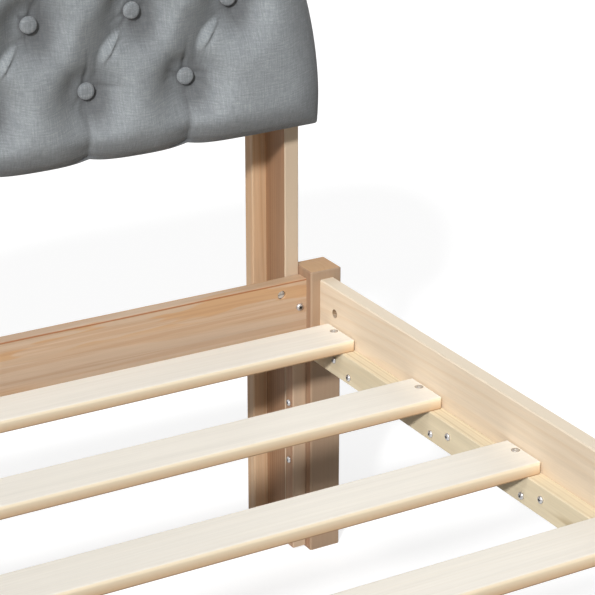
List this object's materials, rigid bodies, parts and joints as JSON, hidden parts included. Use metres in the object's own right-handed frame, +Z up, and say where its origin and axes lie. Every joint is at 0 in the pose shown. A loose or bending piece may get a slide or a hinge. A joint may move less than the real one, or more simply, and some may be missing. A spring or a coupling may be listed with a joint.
{
  "type": "bed frame",
  "caption": "Slatted pine bed frame on square legs, with screwed battens under the slats and a button-tufted upholstered headboard panel with rounded shoulders on two posts.",
  "frame": {"origin": "middle of the frame's footprint, on the floor", "axes": "+Z up, +Y towards the headboard, +X to the right seen from the foot end"},
  "size_m": [1.471, 2.0226, 1.02],
  "materials": {
    "pine_legs": "planed, unvarnished",
    "pine_rails": "planed, unvarnished",
    "pine_battens": "planed, unvarnished",
    "pine_slats": "planed, unvarnished",
    "pine_posts": "planed, unvarnished",
    "pine_support": "planed, unvarnished",
    "dowel_wood": "fluted, dry",
    "plywood": "sanded",
    "upholstery": "woven, matte",
    "back_cloth": "felted, matte",
    "zinc_brackets": "zinc plated, satin",
    "zinc_fasteners": "zinc plated, bright"
  },
  "bodies": {
    "root": {"leg_head_left": "pine_legs", "leg_head_right": "pine_legs", "leg_foot_left": "pine_legs", "leg_foot_right": "pine_legs", "head_rail": "pine_rails", "foot_rail": "pine_rails", "side_rail_left": "pine_rails", "side_rail_right": "pine_rails", "slat_batten_left": "pine_battens", "slat_batten_right": "pine_battens", "slat_01": "pine_slats", "slat_02": "pine_slats", "slat_03": "pine_slats", "slat_04": "pine_slats", "slat_05": "pine_slats", "slat_06": "pine_slats", "slat_07": "pine_slats", "slat_08": "pine_slats", "slat_09": "pine_slats", "slat_10": "pine_slats", "slat_11": "pine_slats", "post_back_board_left": "pine_posts", "post_side_board_left": "pine_posts", "post_front_strip_left": "pine_posts", "post_back_board_right": "pine_posts", "post_side_board_right": "pine_posts", "post_front_strip_right": "pine_posts", "centre_beam": "pine_support", "centre_leg_1": "pine_support", "centre_leg_2": "pine_support", "beam_hanger_head": "zinc_brackets", "beam_hanger_foot": "zinc_brackets", "headboard_angles": "zinc_brackets", "headboard_core": "plywood", "headboard_pad": "upholstery", "headboard_buttons": "upholstery", "headboard_back_cover": "back_cloth", "rail_bolts": "zinc_fasteners", "rail_barrel_nuts": "zinc_fasteners", "rail_dowels": "dowel_wood"}
  },
  "joints": []
}
